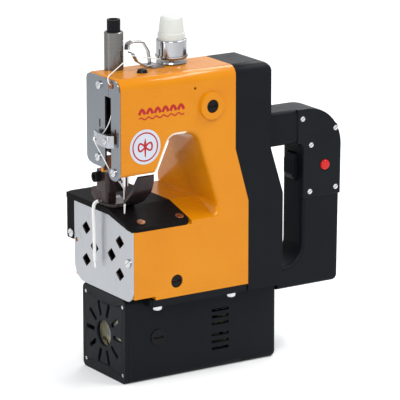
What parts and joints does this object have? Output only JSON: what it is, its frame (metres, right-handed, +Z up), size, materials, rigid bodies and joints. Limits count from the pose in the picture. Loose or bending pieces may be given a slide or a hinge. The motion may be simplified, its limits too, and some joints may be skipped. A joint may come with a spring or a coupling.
{
  "type": "bag closer sewing machine",
  "caption": "Portable bag closer: orange cast C-frame sewing head over a black motor base, with a presser foot, needle, thread tension and a D-shaped trigger handle.",
  "frame": {"origin": "centre of the motor housing's flat underside, which the machine stands on", "axes": "+Z up; +X from the needle end to the handle; -Y the operator's side, where the bag mouth enters"},
  "size_m": [0.2296, 0.107, 0.298],
  "materials": {
    "body_paint": "gloss orange enamel",
    "black_plastic": "fine matt black moulding",
    "black_steel": "satin black",
    "foot_steel": "dark oxide",
    "plate_steel": "brushed",
    "steel": "ground",
    "chrome": "polished",
    "bronze": "sintered",
    "copper": "worn",
    "knob_white": "satin white",
    "cream_metal": "cast",
    "laminations": "stacked sheet",
    "belt_rubber": "matt",
    "red_plastic": "gloss",
    "carbon": "carbon block",
    "cotton": "twisted cotton"
  },
  "bodies": {
    "frame": {"machine_body": "body_paint", "rear_cover": "black_plastic", "face_plate": "plate_steel", "face_strip": "plate_steel", "thread_eyelet": "copper", "looper_cover": "plate_steel", "cover_screws": "chrome", "needle_plate": "black_steel", "needle_plate_bracket": "black_steel", "access_plugs": "black_plastic", "motor_housing": "black_plastic", "motor_grille": "black_plastic", "motor_rear_cap": "black_plastic", "brush_caps": "black_plastic", "motor_shields": "cream_metal", "motor_bearings": "steel", "motor_stator": "laminations", "carbon_brushes": "carbon", "drive_belt": "belt_rubber", "shaft_bushes": "bronze", "presser_tube": "steel", "tension_post": "chrome", "tension_discs": "chrome", "tension_cup": "chrome", "tension_spring": "steel", "thread_guide": "chrome", "feed_guide_rod": "steel", "handle_body": "black_plastic", "switch_cover": "black_plastic", "switch_body": "black_plastic", "power_inlet": "black_plastic", "housing_screws": "black_steel", "needle_thread": "cotton", "thread_tail": "cotton"},
    "main_shaft": {"main_shaft": "steel", "crank": "steel", "upper_pulley": "steel"},
    "connecting_rod": {"connecting_rod": "steel"},
    "lower_shaft": {"lower_shaft": "steel", "lower_pulley": "steel", "looper": "chrome"},
    "motor_rotor": {"motor_armature": "steel", "motor_fan": "knob_white", "motor_pulley": "steel"},
    "needle_bar": {"needle_bar": "chrome", "needle_bar_clamp": "steel", "needle": "chrome", "needle_screws": "chrome", "take_up": "plate_steel"},
    "presser_bar": {"presser_bar": "chrome", "presser_foot": "foot_steel", "presser_foot_screw": "black_steel", "presser_spring": "steel"},
    "presser_adjuster": {"presser_adjuster": "black_plastic"},
    "feed_dog": {"feed_dog": "steel", "feed_bar": "steel"},
    "tension_knob": {"tension_knob": "knob_white"},
    "trigger": {"trigger": "black_plastic"},
    "lock_button": {"lock_button": "red_plastic"}
  },
  "joints": [
    {"name": "main_shaft_spin", "type": "hinge", "parent": "frame", "child": "main_shaft", "pos_m": [0, -0.0205, 0.232], "axis": [1, 0, 0], "continuous": true},
    {"name": "connecting_rod_swing", "type": "hinge", "parent": "main_shaft", "child": "connecting_rod", "pos_m": [-0.058, -0.0205, 0.222], "axis": [1, 0, 0], "continuous": true},
    {"name": "lower_shaft_spin", "type": "hinge", "parent": "frame", "child": "lower_shaft", "pos_m": [0, -0.0205, 0.112], "axis": [1, 0, 0], "continuous": true},
    {"name": "motor_spin", "type": "hinge", "parent": "frame", "child": "motor_rotor", "pos_m": [0, 0, 0.036], "axis": [1, 0, 0], "continuous": true},
    {"name": "needle_bar_slide", "type": "slide", "parent": "frame", "child": "needle_bar", "axis": [0, 0, 1], "range_m": [0, 0.02]},
    {"name": "presser_lift", "type": "slide", "parent": "frame", "child": "presser_bar", "axis": [0, 0, 1], "range_m": [0, 0.008], "stiffness_N_per_m": 500, "springref_m": -0.008, "deforming": ["presser_spring"]},
    {"name": "presser_adjuster_turn", "type": "hinge", "parent": "frame", "child": "presser_adjuster", "pos_m": [-0.0645, -0.0034, 0.285], "axis": [0, 0, 1], "range_deg": [-180, 180]},
    {"name": "feed_dog_travel", "type": "slide", "parent": "frame", "child": "feed_dog", "axis": [0, 1, 0], "range_m": [-0.003, 0.003]},
    {"name": "tension_knob_turn", "type": "hinge", "parent": "frame", "child": "tension_knob", "pos_m": [-0.0125, -0.0075, 0.28], "axis": [0, 0, 1], "range_deg": [-360, 360]},
    {"name": "trigger_pull", "type": "slide", "parent": "frame", "child": "trigger", "axis": [1, 0, 0], "range_m": [0, 0.005], "stiffness_N_per_m": 400, "springref_m": -0.003},
    {"name": "lock_button_press", "type": "slide", "parent": "frame", "child": "lock_button", "axis": [0, 1, 0], "range_m": [0, 0.002], "stiffness_N_per_m": 400, "springref_m": -0.003}
  ],
  "couplings": [
    {"joint": "connecting_rod_swing", "follows": "main_shaft_spin", "ratio": -1},
    {"joint": "lower_shaft_spin", "follows": "main_shaft_spin", "ratio": 1},
    {"joint": "motor_spin", "follows": "main_shaft_spin", "ratio": 3}
  ]
}
